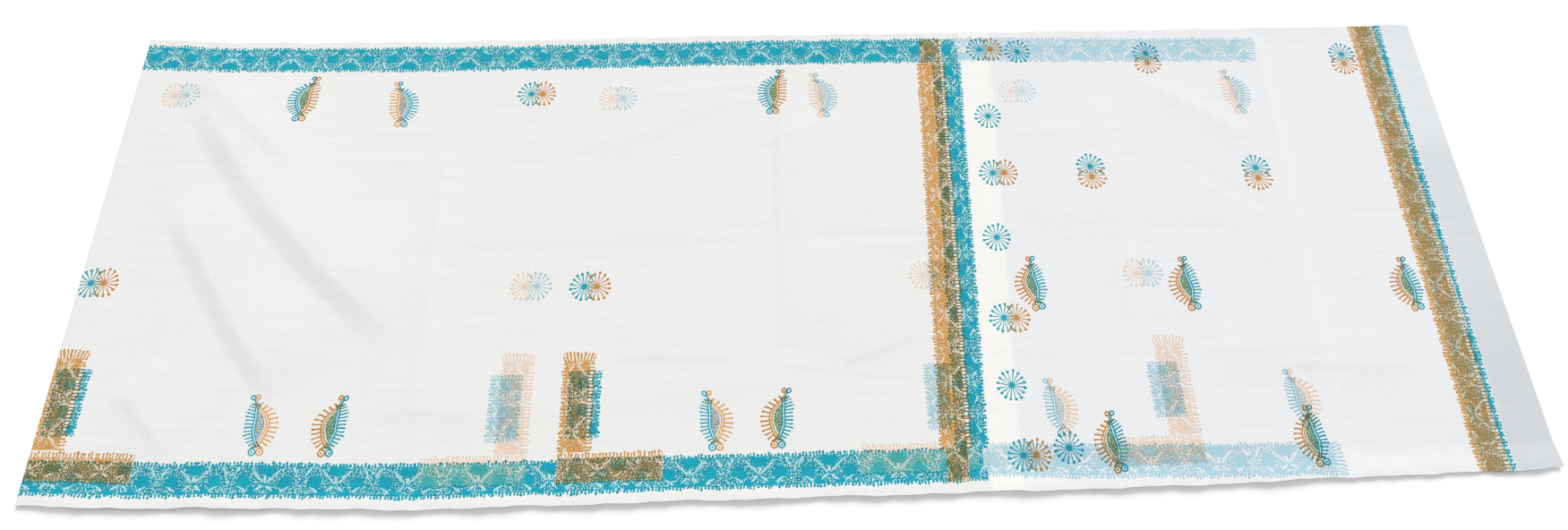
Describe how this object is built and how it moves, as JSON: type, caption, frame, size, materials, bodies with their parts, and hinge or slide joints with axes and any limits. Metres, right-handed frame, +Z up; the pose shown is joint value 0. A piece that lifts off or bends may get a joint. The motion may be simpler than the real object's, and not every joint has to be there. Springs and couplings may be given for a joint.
{
  "type": "saree laid out folded in two",
  "caption": "Block-printed cotton saree folded once across its length and laid out flat, with its printed body and pallu on show.",
  "frame": {"origin": "middle of the laid cloth's box, on the surface that it lies on", "axes": "+X along the cloth from its fold to its free end, +Y from the near edge to the far edge, +Z up from the surface"},
  "size_m": [3.24, 1.145, 0.0098],
  "materials": {
    "body_cloth": "fine plain-woven warm white cotton, matt, printed in teal and orange",
    "pallu_cloth": "fine plain-woven cool white cotton, matt, printed in teal and orange",
    "under_cloth": "fine plain-woven white cotton, matt, seen from its back"
  },
  "bodies": {
    "root": {"body_stretch": "body_cloth", "pallu_stretch": "pallu_cloth", "under_layers": "under_cloth"}
  },
  "joints": []
}
